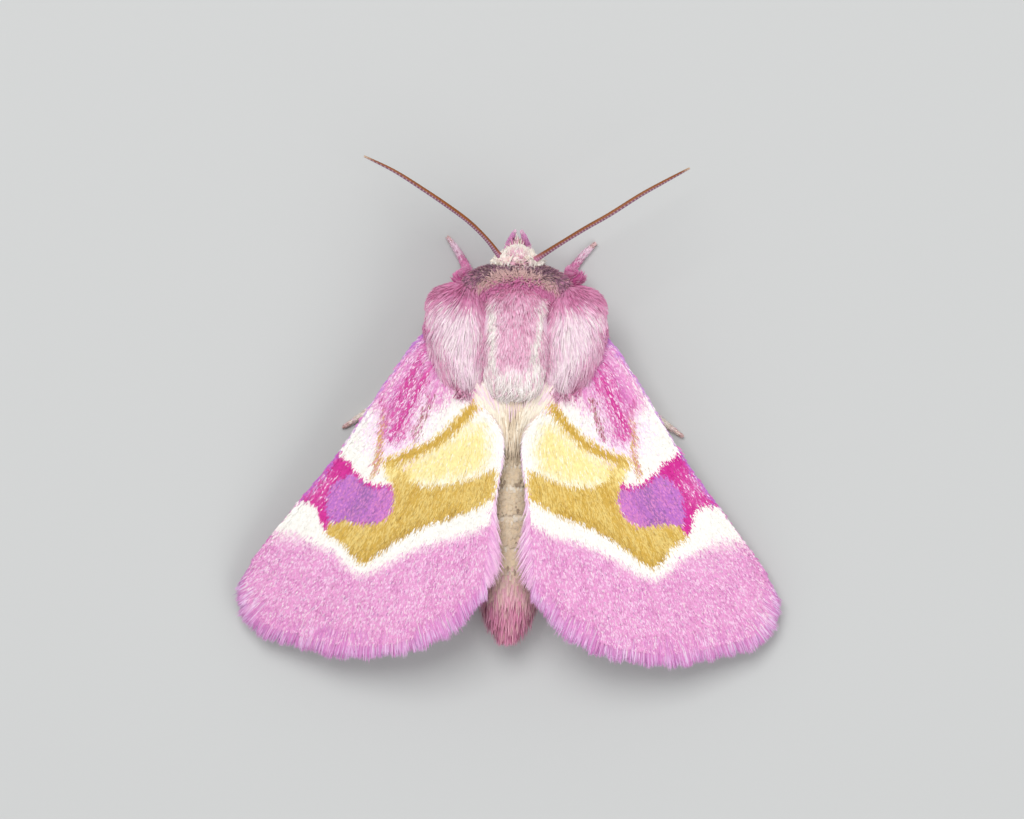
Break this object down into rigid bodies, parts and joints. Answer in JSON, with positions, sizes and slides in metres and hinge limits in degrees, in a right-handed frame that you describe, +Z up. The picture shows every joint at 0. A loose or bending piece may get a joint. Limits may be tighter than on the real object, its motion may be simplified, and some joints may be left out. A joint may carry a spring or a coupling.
{
  "type": "resting noctuid moth",
  "caption": "Life-size still model of a pink, white and ochre noctuid moth at rest on its feet, wings spread in a low roof.",
  "frame": {"origin": "on the floor under the middle of the whole outline", "axes": "+Z up out of the back, the head looks along -Y, +X to the moth's own left across the wings"},
  "size_m": [0.0202, 0.0183, 0.0046],
  "materials": {
    "pink_scales": "soft pink hair scales",
    "leg_scales": "pink scales that pale towards the foot",
    "pale_scales": "long pale pink hair scales",
    "wing_scales": "flat matt scales in pink, white, cream and ochre fields",
    "hindwing_scales": "plain pale scales with a pinkish border",
    "mauve_scales": "dark mauve hair scales with a sandy band",
    "cream_scales": "white hair scales",
    "eye_gloss": "glossy dark compound eye",
    "antenna_brown": "brown ringed feeler with pale scales behind",
    "tan_scales": "tan flat scales and cream hair",
    "tail_scales": "brownish pink hair scales"
  },
  "bodies": {
    "root": {"abdomen": "tan_scales", "antenna_left": "antenna_brown", "antenna_right": "antenna_brown", "collar": "mauve_scales", "eye_left": "eye_gloss", "eye_right": "eye_gloss", "foreleg_left": "leg_scales", "foreleg_right": "leg_scales", "forewing_left": "wing_scales", "forewing_right": "wing_scales", "head": "cream_scales", "hindleg_left": "leg_scales", "hindleg_right": "leg_scales", "hindwing_left": "hindwing_scales", "hindwing_right": "hindwing_scales", "midleg_left": "leg_scales", "midleg_right": "leg_scales", "palp_left": "pink_scales", "palp_right": "pink_scales", "tail_tuft": "tail_scales", "tegula_left": "pale_scales", "tegula_right": "pale_scales", "thorax": "pink_scales"}
  },
  "joints": []
}
